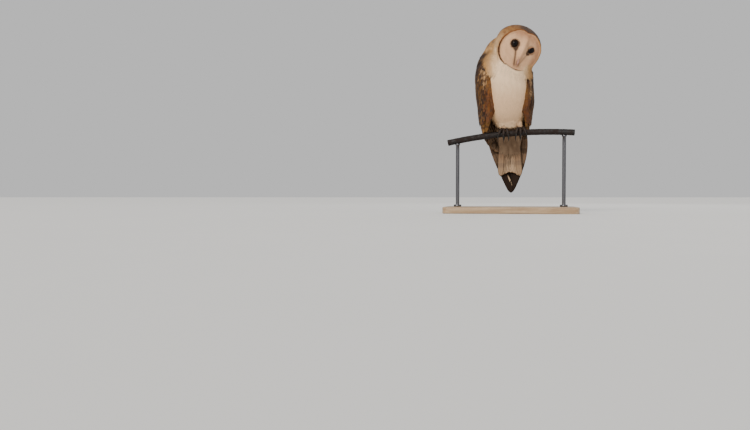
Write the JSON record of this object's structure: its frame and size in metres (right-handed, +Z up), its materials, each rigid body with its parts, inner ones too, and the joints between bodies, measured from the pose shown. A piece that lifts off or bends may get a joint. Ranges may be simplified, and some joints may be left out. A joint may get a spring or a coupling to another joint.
{
  "type": "barn owl",
  "caption": "Life-size still model of a barn owl perched upright on a short curved iron bar, head turned and tilted, on a plain display stand.",
  "frame": {"origin": "centre of the underside of the stand's base, below the bar between the owl's feet", "axes": "+Z up, -Y the way the owl's body faces, +X to the owl's left, along the base"},
  "size_m": [0.28, 0.16, 0.3984],
  "materials": {
    "feather_gold": "soft matt plumage, golden buff with fine grey mottling",
    "feather_face": "fine hair-like plumage, cream with a dark rufous rim",
    "feather_white": "soft matt plumage, white to cream",
    "feather_brown": "tawny flight feathers and coverts with grey-brown bars",
    "feather_tail": "pale buff tail feathers with faint bars",
    "skin_foot": "dark scaly skin",
    "horn_claw": "black horn",
    "horn_bill": "pale pinkish horn",
    "eye": "very dark, wet and glossy",
    "bar": "dark weathered iron with rust",
    "stand_steel": "dark satin rod",
    "stand_wood": "plain satin wood"
  },
  "bodies": {
    "root": {"head": "feather_gold", "facial_disc": "feather_face", "neck": "feather_white", "trunk": "feather_white", "wing_left": "feather_brown", "wing_right": "feather_brown", "primaries_left": "feather_brown", "primaries_right": "feather_brown", "tail": "feather_tail", "leg_left": "feather_white", "leg_right": "feather_white", "foot_left": "skin_foot", "foot_right": "skin_foot", "bill": "horn_bill", "eye_left": "eye", "eye_right": "eye", "perch": "bar", "stand_base": "stand_wood", "stand_rod_left": "stand_steel", "stand_rod_right": "stand_steel", "claw_left_inner": "horn_claw", "claw_left_middle": "horn_claw", "claw_left_outer": "horn_claw", "claw_left_hind": "horn_claw", "claw_right_inner": "horn_claw", "claw_right_middle": "horn_claw", "claw_right_outer": "horn_claw", "claw_right_hind": "horn_claw"}
  },
  "joints": []
}
